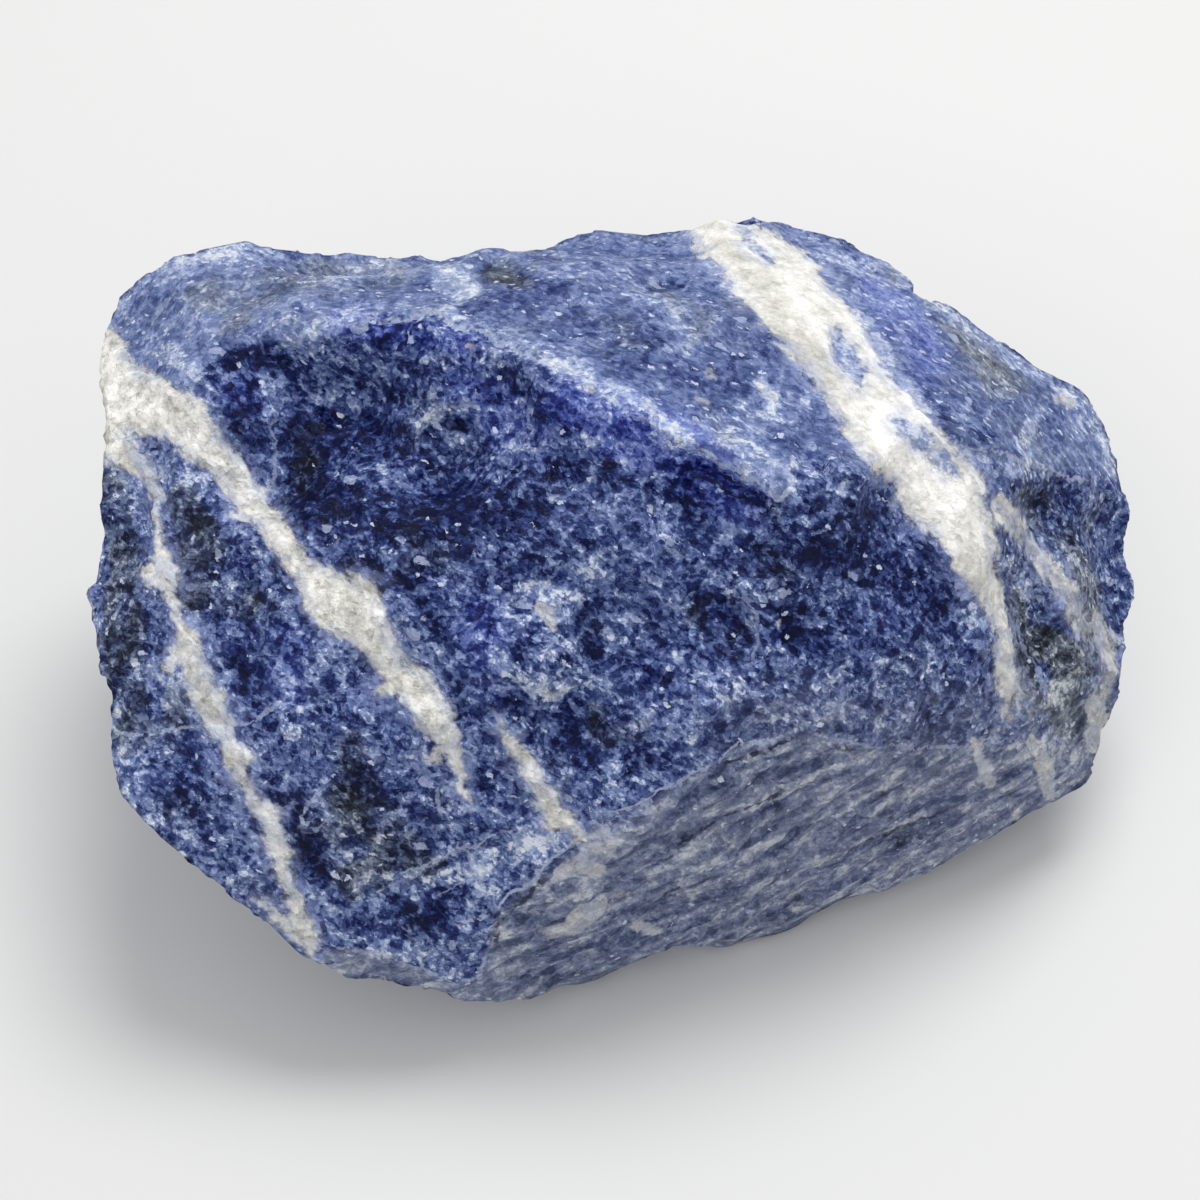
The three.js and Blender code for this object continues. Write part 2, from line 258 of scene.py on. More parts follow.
GREY = [
    (0.5, (200, 300, 18), (260, 285, 22), (330, 280, 20), (400, 275, 16), (450, 262, 9)),
    (0.5, (240, 310, 12), (220, 330, 9)),
    (0.6, (500, 275, 13), (530, 290, 9)),
    (0.5, (640, 280, 13), (670, 300, 16), (700, 320, 12), (690, 345, 9)),
    (0.5, (110, 520, 12), (140, 560, 17), (190, 590, 26), (240, 600, 20)),
    (0.65, (112, 480, 14), (122, 560, 20), (122, 650, 22), (135, 740, 20)),
    (0.6, (1030, 500, 16), (1070, 530, 24), (1100, 500, 14)),
    (0.5, (700, 620, 16), (735, 650, 13), (760, 600, 9)),
    (0.5, (590, 710, 10), (600, 740, 12), (640, 730, 13)),
    (0.6, (340, 800, 16), (380, 820, 22), (400, 860, 26), (360, 880, 20), (430, 870, 16)),
    (1.2, (1040, 640, 17), (1080, 660, 20), (1060, 700, 20), (1085, 740, 17), (1100, 700, 12)),
    (0.6, (880, 270, 10), (930, 300, 9), (960, 330, 12), (1000, 380, 16), (1040, 400, 13)),
    (0.3, (800, 600, 26), (760, 560, 17)),
    (0.8, (180, 500, 18), (205, 545, 26), (190, 590, 24)),
    (0.5, (180, 690, 14), (165, 745, 16)),
    (0.5, (300, 440, 16), (310, 480, 18)),
    (0.5, (350, 750, 18), (365, 790, 18)),
    (0.35, (410, 925, 20), (430, 940, 16)),
    (0.9, (1080, 560, 14), (1090, 600, 16), (1100, 640, 12)),
    (0.9, (1018, 600, 10), (1020, 640, 16), (1020, 700, 18)),
]

# Parts that are a purer blue.
VIVID = [
    (1.0, (560, 400, 22), (620, 425, 30), (690, 455, 34), (740, 500, 26)),
    (0.9, (345, 325, 12), (400, 330, 14), (470, 345, 12)),
    (0.6, (230, 390, 16), (250, 400, 16)),
    (0.9, (870, 280, 16), (905, 320, 22), (930, 360, 18)),
    (0.6, (470, 385, 24), (530, 440, 24)),
    (0.6, (480, 620, 24), (490, 680, 20)),
    (0.5, (290, 690, 16), (290, 640, 14)),
]

CREAM = [
    (0.8, (470, 346, 3), (478, 348, 3)),
    (0.8, (536, 357, 3), (556, 367, 4)),
    (0.8, (698, 402, 5), (708, 405, 4)),
    (0.8, (709, 374, 3), (715, 380, 3)),
    (0.8, (720, 438, 4), (727, 437, 3)),
    (0.7, (758, 385, 4), (770, 400, 6)),
    (0.7, (586, 856, 9), (606, 846, 9), (622, 840, 5)),
    (0.9, (560, 875, 7), (580, 868, 9), (598, 872, 7)),
    (0.95, (548, 934, 5), (566, 926, 8), (584, 916, 9), (600, 905, 8)),
    (0.6, (612, 895, 6), (628, 893, 4)),
    (0.9, (636, 925, 7), (655, 930, 6)),
    (0.6, (650, 880, 3), (660, 886, 3)),
    (0.6, (605, 855, 5), (615, 858, 3)),
    (0.8, (575, 845, 5), (590, 838, 4), (612, 829, 3)),
    (0.5, (500, 927, 4), (507, 925, 3)),
    (0.6, (790, 908, 6), (805, 905, 4)),
    (0.9, (973, 740, 4), (981, 760, 7), (989, 782, 8)),
    (0.95, (1032, 738, 6), (1043, 765, 10), (1049, 795, 7)),
    (0.7, (1098, 612, 5), (1112, 640, 7), (1108, 680, 8), (1096, 720, 6)),
    (0.55, (1013, 808, 7), (1025, 825, 5)),
    (1.1, (1094, 705, 9), (1102, 722, 11), (1096, 742, 10)),
    (0.7, (1078, 640, 3), (1086, 652, 4)),
    (0.7, (1068, 668, 3), (1080, 672, 3)),
    (0.7, (335, 975, 5), (346, 981, 4)),
    (0.6, (355, 950, 3), (375, 955, 3)),
    (0.9, (1060, 400, 5), (1068, 405, 5)),
    (0.6, (1118, 640, 4), (1112, 665, 5), (1106, 690, 3)),
    (0.85, (538, 602, 4), (548, 612, 8), (557, 630, 4)),
    (0.8, (545, 690, 5), (560, 692, 4)),
    (0.9, (778, 625, 3), (782, 630, 3)),
    (0.8, (723, 697, 4), (727, 699, 4)),
    (0.9, (643, 408, 4), (653, 416, 5)),
    (0.8, (585, 390, 3), (600, 397, 3)),
]

# Broad parts of the stone that are lighter or darker than the rest: (change of tone, *path).
BROAD = [
    (0.11, (560, 325, 20), (620, 330, 26), (690, 335, 22)),
    (-0.10, (585, 266, 12), (615, 275, 12)),
    (0.09, (350, 325, 10), (385, 322, 10)),
    (0.09, (465, 334, 8), (500, 347, 8)),
    (0.18, (285, 385, 14), (340, 392, 12)),
    (-0.10, (238, 392, 14), (250, 412, 12)),
    (-0.22, (405, 388, 22), (490, 392, 14)),
    (-0.15, (300, 450, 16), (345, 468, 14), (390, 485, 14)),
    (-0.08, (470, 450, 14), (495, 455, 12)),
    (0.16, (640, 460, 14), (668, 440, 14)),
    (-0.12, (712, 445, 8), (728, 455, 8)),
    (-0.26, (775, 440, 12), (800, 452, 10), (830, 462, 8)),
    (-0.34, (300, 510, 20), (350, 515, 26), (420, 515, 22), (490, 512, 20), (540, 510, 8)),
    (-0.20, (350, 572, 14), (420, 578, 24)),
    (-0.20, (530, 570, 14), (550, 575, 12)),
    (0.12, (680, 512, 14), (730, 520, 18)),
    (0.09, (600, 570, 14), (615, 580, 14)),
    (-0.08, (655, 565, 12), (668, 578, 12)),
    (0.13, (715, 570, 16), (735, 580, 12)),
    (-0.17, (425, 630, 18), (440, 640, 14)),
    (0.14, (540, 625, 18), (600, 630, 18)),
    (-0.17, (780, 628, 18), (835, 632, 24), (900, 634, 20)),
    (0.16, (535, 688, 16), (600, 692, 18)),
    (0.10, (885, 690, 14), (915, 688, 14)),
    (-0.10, (180, 505, 14), (205, 520, 12)),
    (-0.20, (180, 572, 10), (205, 565, 14)),
    (0.06, (118, 625, 12), (125, 640, 12)),
    (-0.24, (238, 628, 10), (246, 680, 12), (250, 710, 10)),
    (-0.18, (180, 748, 16), (170, 765, 12)),
    (-0.20, (298, 800, 10), (308, 835, 12), (308, 868, 8)),
    (0.09, (470, 808, 14), (490, 815, 14)),
    (0.20, (1005, 560, 10), (1030, 580, 14)),
    (0.14, (1020, 690, 12), (1075, 690, 14)),
    (-0.14, (350, 922, 14), (415, 932, 18)),
    (-0.25, (350, 975, 8), (420, 985, 8)),
    (0.30, (830, 752, 10), (865, 756, 10)),
    (0.35, (1000, 756, 14), (1070, 752, 14)),
    (0.20, (655, 868, 14), (725, 872, 14)),
]

# Lines that part the faces of the stone, from left to right.
CREST = [
    (100, 345), (190, 385), (215, 350), (240, 340), (300, 346), (345, 336), (375, 320), (430, 314),
    (480, 334), (530, 357), (560, 376), (600, 396), (650, 424), (690, 450), (735, 474), (783, 500),
    (800, 455), (850, 470), (920, 520), (1000, 500), (1035, 468), (1110, 480),
]
LOWER_CREASE = [
    (325, 945), (365, 950), (388, 955), (411, 965), (445, 981), (470, 982), (481, 976), (486, 950),
    (489, 930), (507, 899), (526, 884), (549, 863), (565, 851), (578, 843), (590, 830), (601, 812),
    (631, 805), (666, 788), (697, 773), (716, 761), (735, 746), (758, 742), (799, 733), (850, 740),
    (930, 748), (1005, 738), (1060, 745), (1125, 700),
]
RIGHT_STEP = [(950, 446), (1000, 455), (1035, 466), (1060, 476), (1100, 482)]

# Thin lines, pale where the strength is above 0 and dark where it is below: (strength, *path).
LINES = [
    # The pale lines along the crest, the lower crease, the plate's edge and the step are partly
    # worn edges and partly painted highlight.
    (0.75, (345, 337), (375, 321), (430, 315), (480, 335), (530, 358), (560, 377)),
    (0.35, (560, 377), (600, 397), (650, 425), (690, 449)),
    (0.9, (601, 811), (631, 805), (666, 788), (697, 773), (716, 761), (735, 746), (758, 742),
           (799, 733)),
    (1.0, *LOWER_CREASE[13:8:-1], (491, 916)),
    (0.7, (487, 949), (481, 976), (457, 982), (445, 980), (411, 965), (388, 955), (365, 950),
           (325, 945)),
    (0.6, (810, 733), (837, 742), (875, 746), (914, 748), (952, 746), (998, 744), (1010, 735)),
    (0.6, (577, 842), (612, 828), (628, 823)),
    (0.9, (690, 446), (704, 450), (740, 474), (778, 498), (786, 494), (797, 468)),
    (0.6, (415, 452), (420, 430), (437, 412), (462, 402), (488, 408)),
    (0.6, (106, 731), (150, 733), (200, 724), (240, 728), (262, 715), (284, 703)),
    (0.8, (297, 832), (303, 812), (313, 795), (330, 785)),
    (0.5, (299, 834), (318, 830), (334, 821)),
    (0.8, (395, 876), (411, 872), (457, 853), (499, 834), (535, 822)),
    (0.6, (430, 900), (470, 884), (505, 866)),
    (0.7, (464, 838), (470, 858), (480, 880), (488, 907)),
    (0.6, (511, 826), (514, 840), (518, 857)),
    (0.9, (461, 926), (478, 918), (491, 911)),
    (0.7, (436, 784), (438, 800), (445, 818)),
    (0.9, *RIGHT_STEP),
    (0.6, (1042, 565), (1075, 566), (1100, 568)),
    (0.5, (1062, 540), (1080, 548), (1100, 545)),
    (0.5, (1010, 590), (1040, 600), (1075, 588)),
    (0.5, (738, 575), (750, 604), (757, 640), (752, 668)),
    (0.4, (700, 560), (722, 585), (735, 610)),
    (0.5, (655, 536), (668, 550), (688, 552)),
    (0.5, (600, 688), (625, 700), (655, 712)),
    (0.7, (500, 668), (520, 684), (548, 696), (570, 690)),
    (0.5, (276, 400), (274, 450), (270, 500)),
    (0.6, (150, 330), (165, 305), (178, 288)),
    (0.6, (165, 338), (182, 312), (196, 292)),
    (0.5, (180, 335), (192, 318), (204, 300)),
    (0.5, (1014, 600), (1022, 640), (1040, 676), (1048, 700)),
    (-0.8, (616, 700), (640, 709), (660, 720)),
    # Painted shadow under the lower crease.
    (-0.9, (716, 768), (740, 757), (781, 743), (804, 737)),
    (-0.8, (672, 852), (690, 838), (705, 827), (751, 804), (799, 785)),
    # Painted shadow under the plate.
    (-0.8, (681, 469), (712, 487), (739, 499), (760, 508)),
    (-0.7, (812, 730), (822, 737), (837, 747), (860, 750)),
    (-0.7, (880, 852), (905, 838), (925, 830)),
    (-0.7, (820, 862), (860, 842), (900, 826), (960, 806)),
    (-0.6, (870, 800), (892, 790), (915, 783)),
    (-0.7, (640, 905), (680, 888), (730, 872)),
    # Painted shadow beneath the left of the lower crease.
    (-0.8, (494, 950), (498, 925), (512, 908), (530, 893), (552, 872)),
]

# Duller parts of the white veins.
DULL = [
    (0.8, (706, 245, 8), (735, 262, 12), (760, 285, 14), (796, 340, 16), (826, 382, 13),
           (840, 402, 9)),
    (0.5, (962, 540, 8), (975, 580, 14), (1010, 700, 14)),
    (1.0, (1000, 505, 10), (1024, 535, 10), (1070, 600, 10), (1115, 660, 12)),
]

# ---- relief on the side that the camera sees: (mm, reach, *path) ----
# A ledge stands out by its height on the left of its path and falls back over its reach.

LEDGES = [
    (0.50, 34, *CREST[3:16]),
    (0.35, 22, (783, 500), (796, 462), (797, 436), (812, 400)),
    (0.35, 22, *RIGHT_STEP),
    (-0.30, 26, (106, 733), (150, 735), (200, 726), (240, 729), (284, 705), (330, 690)),
    (0.35, 14, *LOWER_CREASE[8:22]),
    (0.35, 14, *LOWER_CREASE[:7]),
    (0.30, 16, (600, 868), (680, 828), (720, 802), (760, 780)),
    (0.25, 16, (400, 880), (440, 860), (475, 845), (545, 824)),
    (0.30, 16, (497, 655), (520, 684), (560, 694), (600, 672), (640, 690)),
    (0.30, 14, (412, 455), (418, 428), (437, 410), (462, 400), (490, 408)),
    (0.25, 16, (300, 832), (325, 800), (330, 775), (345, 768)),
    (0.25, 14, (640, 545), (690, 560), (735, 590), (765, 620), (760, 660)),
    (0.25, 14, (545, 500), (590, 508), (640, 500), (690, 515)),
]
PITS = [
    (0.9, 34, (222, 366), (255, 360), (292, 378)),
    (0.5, 16, (275, 498), (275, 512)),
    (0.7, 18, (588, 608), (592, 632), (600, 652)),
    (0.5, 12, (512, 697), (522, 700)),
    (0.4, 11, (652, 673), (662, 677)),
    (0.4, 11, (661, 640), (662, 650)),
    (0.35, 10, (690, 668), (692, 674)),
    (0.4, 12, (700, 596), (690, 615)),
    (0.4, 14, (735, 612), (744, 640)),
    (0.6, 16, (784, 610), (797, 640)),
    (0.5, 18, (700, 480), (740, 496), (768, 507)),
    (0.4, 14, (450, 424), (472, 428)),
    (0.5, 18, (345, 800), (368, 785)),
    (0.5, 20, (1046, 640), (1078, 622)),
    (0.6, 40, (1040, 520), (1085, 530)),
    (0.35, 10, (525, 277), (512, 286)),
    (0.35, 10, (650, 285), (682, 282)),
    (0.3, 8, (450, 302), (474, 320)),
    (1.0, 18, (744, 210), (764, 208)),
    (0.6, 45, (88, 570), (88, 640)),
    (0.5, 45, (1144, 570), (1144, 620)),
    (0.8, 24, (570, 996), (620, 990), (680, 968)),
    (0.9, 26, (375, 990), (430, 1002)),
    (-0.7, 24, (104, 480), (104, 502)),
]

# ---- the surface ----

VOXEL = 0.43 * MM
FOOT_TOP = (0.2 * MM, 1.2 * MM)  # relief comes in between these heights, over the flat foot

# How far the edges of patches, veins and lines stray from their paths, in pixels.
PATCH_STRAY, VEIN_STRAY, LINE_STRAY = 6, 7, 2

# Mosaics of chips. A point lies on the lowest of the faces round a few seeds.
CHIPS = [  # (spacing, slope, seed, change of tone)
    (6.0 * MM, 0.10, 3, 0.05),
    (2.8 * MM, 0.11, 1, 0.06),
    (1.4 * MM, 0.12, 2, 0.045),
]
SUGAR_CHIPS = (1.6 * MM, 0.17, 4)
CHIP_CHOICES = 5
CHIP_BOWL = 0.05  # how hollow a face is
CHIP_OFFSET = 0.3  # how far it is shifted, as a share of its rise over the spacing

# Soft relief: (height, size, octaves, seed).
LUMPS = (0.14 * MM, 6 * MM, 3, 8)
VEIN_LUMPS = (0.20 * MM, 3 * MM, 3, 9)
STREAKS = (0.20 * MM, 1.1 * MM, 4, 10)
VEIN_HEIGHT = 0.12 * MM
STREAK_TURN = 0.35
STREAK_LENGTHS = (5.0, 1.5, 1.0)

# The rock's tone is about 0 where it is darkest and 1 where it is lightest.
BASE_TONE = 0.265
ABOVE_TONE = 0.23  # what the faces above the crest have more
# Ridges are a little lighter, as worn edges, and hollows a little darker, which is painted shade.
EDGE_TONE = 0.05
EDGE_HEIGHT = 0.35 * MM  # how far a full edge stands out of the evened surface
CLOUDS = [(0.13, 9 * MM, 3, 11), (0.06, 3 * MM, 3, 13)]
GREY_CLOUDS = (0.5, 5 * MM, 3, 12)

# Limits between which something comes in: shares of the normal towards the camera, forwards
# and upwards, pixels across a line or into a path, and columns of the photograph's frame.
SEEN_FACING, RIM_FACING = (0.02, 0.2), (-0.6, -0.2)
FRONT_FACING, TOP_FACING = (0, 0.4), (0.75, 0.4)
ABOVE_CREST, BELOW_CREASE, ABOVE_CREASE = (-2, 4), (0, 5), (80, 5)
ON_LINE, IN_BROAD = (16, 9), (-14, 12)
LOWER_COLUMNS, STRIP_COLUMNS, SUGARY_COLUMNS = (318, 330), (660, 760), (700, 500)
IN_VEIN = (-0.1 * MM, 0.6 * MM)

# What is painted on the side seen: (strokes, softness of their edges in pixels).
STROKES = {
    "light": (LIGHT, 3), "dark": (DARK, 4), "grey": (GREY, 6),
    "vivid": (VIVID, 12), "cream": (CREAM, 4), "dull": (DULL, 8),
}


def fractal(points, height, size, octaves, seed):
    """Noise from about -height to height, with lumps about size across, at each point."""
    shift = Vector((11.3, -7.7, 5.9)) * seed
    return height * np.array([
        noise.fractal(Vector(p) / size + shift, 0.8, 2.1, octaves, noise_basis="PERLIN_ORIGINAL")
        for p in points
    ])


def to_pixels(points):
    """Where the points lie in the photograph's frame, as two columns."""
    offset = points - np.array(EYE)
    depth = -(offset @ np.array(BACK))
    return FRAME_PX / 2 + FOCAL_PX * (offset @ np.transpose([RIGHT, -UP])) / depth[:, None]


def from_leg(places, start, end):
    """How far along the leg each place is, from 0 to 1, the gap to it, and the leg's run."""
    run = np.subtract(end, start)
    t = np.clip((places - start) @ run / (run @ run), 0, 1)
    return t, places - start - t[:, None] * run, run


def along_path(places, path):
    """Distance of each place to the path, and how far along it and on which side that is."""
    best = np.full(len(places), 1e9)
    part, side = np.zeros(len(places)), np.zeros(len(places))
    for i, (start, end) in enumerate(zip(path, path[1:])):
        t, gap, run = from_leg(places, start, end)
        distance = np.linalg.norm(gap, axis=1)
        closer = distance < best
        best[closer] = distance[closer]
        part[closer] = i + t[closer]
        side[closer] = np.sign(run[1] * gap[closer, 0] - run[0] * gap[closer, 1])
    return best, part, side


def inside_path(places, path):
    """How far each place is inside a path of (u, v, half-width), in pixels, negative outside."""
    best = np.full(len(places), -1e9)
    for (u0, v0, w0), (u1, v1, w1) in zip(path, path[1:]):
        t, gap, _ = from_leg(places, (u0, v0), (u1, v1))
        best = np.maximum(best, w0 + (w1 - w0) * t - np.linalg.norm(gap, axis=1))
    return best


def above_line(places, line):
    """How many pixels each place is above a line that runs from left to right."""
    u, v = np.transpose(line)
    return np.interp(places[:, 0], u, v) - places[:, 1]


def fade(value, low, high):
    """0 at low and 1 at high, with a smooth slope between."""
    t = np.clip((value - low) / (high - low), 0, 1)
    return t * t * (3 - 2 * t)


def fading_ends(part, path, length):
    """1 along the path, falling to 0 at its ends over this part of a leg."""
    return fade(np.minimum(part, len(path) - 1 - part), 0, length)


def added(name, data):
    """A new object in the scene."""
    thing = bpy.data.objects.new(name, data)
    bpy.context.scene.collection.objects.link(thing)
    return thing


def remeshed(source, voxel):
    """Points and faces (four corners each) of the source's surface on an even fine grid."""
    copy = added("working_copy", source.data.copy())
    remesh = copy.modifiers.new("remesh", "REMESH")
    remesh.mode = "VOXEL"
    remesh.voxel_size = voxel
    evaluated = copy.evaluated_get(bpy.context.evaluated_depsgraph_get())
    mesh = evaluated.to_mesh()
    points = np.zeros(len(mesh.vertices) * 3)
    mesh.vertices.foreach_get("co", points)
    corners = np.zeros(len(mesh.loops), int)
    mesh.loops.foreach_get("vertex_index", corners)
    evaluated.to_mesh_clear()
    bpy.data.objects.remove(copy)
    return points.reshape(-1, 3), corners.reshape(-1, 4)


def unit(vectors):
    return vectors / np.linalg.norm(vectors, axis=1)[:, None]


def face_normals(points, faces):
    a, b, c, d = (points[faces[:, k]] for k in range(4))
    return unit(np.cross(c - a, d - b))


def point_normals(points, faces):
    return unit(gathered(face_normals(points, faces), faces, len(points)))


def summed(rows, vectors, count):
    """For each of the rows, the sum of the vectors that belong to it."""
    return np.stack([np.bincount(rows, vectors[:, axis], count) for axis in range(3)], axis=1)


def gathered(vectors, faces, count):
    """Sum of the faces' vectors over the faces round every point."""
    return sum(summed(faces[:, k], vectors, count) for k in range(4))


def neighbour_pairs(faces):
    """Pairs of faces that share an edge, as two arrays."""
    edges = np.concatenate([faces[:, [k, (k + 1) % 4]] for k in range(4)])
    owner = np.tile(np.arange(len(faces)), 4)
    edges = np.sort(edges, axis=1)
    order = np.lexsort((edges[:, 1], edges[:, 0]))
    edges, owner = edges[order], owner[order]
    same = np.all(edges[1:] == edges[:-1], axis=1)
    return owner[:-1][same], owner[1:][same]


def sharpened(points, faces, spread=0.35, normal_passes=26, point_passes=14):
    """Smooths within faces of the rock and keeps the creases between them."""
    first, second = neighbour_pairs(faces)
    normals = face_normals(points, faces)
    count = len(faces)
    for _ in range(normal_passes):
        likeness = np.exp(-((normals[first] - normals[second]) ** 2).sum(axis=1) / spread ** 2)
        total = normals * 0.3 + summed(first, likeness[:, None] * normals[second], count)
        normals = unit(total + summed(second, likeness[:, None] * normals[first], count))
    valence = np.bincount(faces.ravel(), minlength=len(points))[:, None]
    for _ in range(point_passes):
        middle = points[faces].mean(axis=1)
        move = np.zeros_like(points)
        for k in range(4):
            rise = ((middle - points[faces[:, k]]) * normals).sum(axis=1)[:, None]
            move += summed(faces[:, k], rise * normals, len(points))
        points = points + move / valence
    return points


def relaxed(values, faces, passes):
    """Vectors at the points, each evened out over its neighbours."""
    valence = np.bincount(faces.ravel(), minlength=len(values))[:, None]
    for _ in range(passes):
        values = gathered(values[faces].mean(axis=1), faces, len(values)) / valence
    return values


def chips(points, normals, spacing, slope, seed):
    """Height of a mosaic of flat faces that meet in ridges, and a random tone for each face."""
    random = np.random.default_rng(seed)
    low, high = points.min(axis=0), points.max(axis=0)
    count = int(np.prod((high - low) / spacing))
    seeds = random.uniform(low, high, (count, 3))
    leans = unit(random.normal(size=(count, 3)))
    starts, tones = random.uniform(-1, 1, (2, count))
    tree = KDTree(count)
    for i, place in enumerate(seeds):
        tree.insert(place, i)
    tree.balance()
    nearest = np.array([[found[1] for found in tree.find_n(p, CHIP_CHOICES)] for p in points])
    gap = points[:, None] - seeds[nearest]
    lean = leans[nearest]
    lean = lean - (lean * normals[:, None]).sum(axis=2)[..., None] * normals[:, None]
    rise = (gap * lean).sum(axis=2) * slope + starts[nearest] * spacing * slope * CHIP_OFFSET
    rise += CHIP_BOWL * (gap ** 2).sum(axis=2) / spacing
    lowest = rise.argmin(axis=1)
    rows = np.arange(len(points))
    return rise[rows, lowest] - rise[rows, lowest].mean(), tones[nearest[rows, lowest]]


def rock_chips(points, normals):
    """Height of the rock's mosaics together, and the change of tone that they give."""
    height, tone = np.zeros((2, len(points)))
    for spacing, slope, seed, change in CHIPS:
        rise, tones = chips(points, normals, spacing, slope, seed)
        height += rise
        tone += change * tones
    return height, tone


def painted(where, strokes, soft):
    """Strength of the strongest stroke at each place that the camera sees."""
    total = np.zeros(len(where.places))
    for strength, *path in strokes:
        inside = inside_path(where.places, path)
        total = np.maximum(total, strength * fade(inside, -soft, soft))
    return total * where.seen


def broad_tone(where):
    """Sum of the broad changes of tone at each place that the camera sees."""
    return where.seen * sum(
        change * fade(inside_path(where.places, path), *IN_BROAD) for change, *path in BROAD
    )


def line_fields(where):
    """Distance to the nearest of the thin lines, in millimetres and with a sign for the side,
    and that line's strength."""
    nearest = np.full(len(where.places), 1e9)
    signed, strength = np.zeros_like(nearest), np.zeros_like(nearest)
    for value, *path in LINES:
        distance, part, side = along_path(where.line_places, path)
        closer = distance < nearest
        nearest[closer] = distance[closer]
        signed[closer] = (side * distance)[closer]
        strength[closer] = value * fading_ends(part, path, 0.5)[closer]
    return signed * PX / MM, strength * where.seen * fade(nearest, *ON_LINE)


def made_relief(where):
    """Height of the ledges, on the side seen, and of the pits, also just behind its rim."""
    height = np.zeros(len(where.places))
    for rise, reach, *path in LEDGES:
        distance, part, side = along_path(where.line_places, path)
        upper = fade(side * distance, -2, 2) * np.exp(-distance / reach)
        height += rise * MM * fading_ends(part, path, 0.8) * upper * where.seen
    for depth, reach, *path in PITS:
        distance, _, _ = along_path(where.line_places, path)
        height -= depth * MM * np.exp(-((distance / reach) ** 2) * 1.4) * where.near
    return height


def vein_depth(places):
    """How far each place is inside the veins, negative outside, in metres.

    A vein is a sheet through the rock, so it comes out again on the far side of the stone."""
    depth = np.max([inside_path(places, path) for path in VEINS.values()], axis=0)
    for path in ISLANDS.values():
        depth = np.minimum(depth, -inside_path(places, path))
    return depth * PX


def whereabouts(points, normals):
    """Places of the points in the photograph's frame, and how far each is in the stone's parts."""
    stray = np.stack([
        fractal(points, 0.6, 3.5 * MM, 4, seed) + fractal(points, 0.5, 0.9 * MM, 2, seed + 1)
        for seed in (4, 6)
    ], axis=1)
    exact = to_pixels(points)
    columns = exact[:, 0]
    where = SimpleNamespace(
        places=exact + stray * PATCH_STRAY,
        line_places=exact + stray * LINE_STRAY,
        vein=vein_depth(exact + stray * VEIN_STRAY),
        left=fade(columns, *SUGARY_COLUMNS),
        seen=fade(normals @ np.array(BACK), *SEEN_FACING),
        near=fade(normals @ np.array(BACK), *RIM_FACING),
    )
    where.in_vein = fade(where.vein, *IN_VEIN)
    where.above = fade(above_line(where.places, CREST), *ABOVE_CREST) * where.seen
    where.below = fade(-above_line(where.line_places, LOWER_CREASE), *BELOW_CREASE)
    where.below *= fade(columns, *LOWER_COLUMNS)
    where.below *= fade(-normals[:, 1], *FRONT_FACING)
    where.below *= fade(normals[:, 2], *TOP_FACING)
    strip = fade(above_line(where.places, LOWER_CREASE), *ABOVE_CREASE)
    strip *= 0.5 * where.seen * fade(columns, *STRIP_COLUMNS)
    where.lower = np.maximum(where.below, strip)
    return where


def relief(points, normals, where, chip_height):
    """Height of all that stands out of the smooth stone at the points, in metres."""
    turn = np.array(Matrix.Rotation(STREAK_TURN, 3, "Y"))
    along_streaks = points @ turn.T / np.array(STREAK_LENGTHS)
    rough = (1 - where.in_vein) * (1 - 0.7 * where.below) * (1 - 0.3 * where.above)
    height = fractal(points, *LUMPS) + chip_height * rough
    sugar, _ = chips(points, normals, *SUGAR_CHIPS)
    sugar += fractal(points, *VEIN_LUMPS)
    height += where.in_vein * (VEIN_HEIGHT + (0.5 + where.left) * sugar)
    height += where.below * fractal(along_streaks, *STREAKS)
    return height + made_relief(where)


def surface_fields(points, faces, where, chip_tone):
    """What the material reads at the points, by name."""
    even = relaxed(points, faces, 5)
    wider = relaxed(even, faces, 40)
    edge = ((even - wider) * point_normals(wider, faces)).sum(axis=1) / EDGE_HEIGHT
    tone = BASE_TONE + ABOVE_TONE * where.above + chip_tone + broad_tone(where)
    tone += sum(fractal(points, *cloud) for cloud in CLOUDS)
    # Lighter on the ridges, as worn edges, and darker in the hollows, as painted shade.
    tone += EDGE_TONE * np.clip(edge, -1, 1)
    line, line_strength = line_fields(where)
    fields = {name: painted(where, *strokes) for name, strokes in STROKES.items()}
    fields["grey"] += fractal(points, *GREY_CLOUDS)
    return {
        **fields, "vein": where.vein / MM, "tone": tone, "sugar": where.left, "line": line,
        "line_strength": line_strength, "above": where.above, "lower": where.lower,
    }


def moved_inside(points, moves, low, high):
    """The points moved, each as far as it can go inside the box."""
    points = np.clip(points, low, high)
    room = np.where(moves > 0, high - points, points - low)
    share = np.clip(room / np.maximum(np.abs(moves), 1e-9), 0, 1).min(axis=1)
    return points + moves * share[:, None]


def make_stone():
    points, faces = remeshed(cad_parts["sodalite_stone"], VOXEL)
    points = sharpened(points, faces)
    normals = unit(relaxed(point_normals(points, faces), faces, 2))
    where = whereabouts(points, normals)
    chip_height, chip_tone = rock_chips(points, normals)
    height = relief(points, normals, where, chip_height)
    height *= fade(points[:, 2], *FOOT_TOP)
    box = (np.array(corner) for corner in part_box("sodalite_stone"))
    points = moved_inside(points, normals * height[:, None], *box)

    mesh = bpy.data.meshes.new("rough_sodalite")
    mesh.from_pydata(points, [], faces.tolist())
    mesh.shade_smooth()
    for name, values in surface_fields(points, faces, where, chip_tone).items():
        layer = mesh.attributes.new(name, "FLOAT", "POINT")
        layer.data.foreach_set("value", values.astype(np.float32))
    mesh.materials.append(sodalite_material())
    stone = added("rough_sodalite", mesh)
    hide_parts("sodalite_stone")
    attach(stone, "root")


# ---- the colours: sRGB of 0 to 255, and ramps of (position, colour) ----

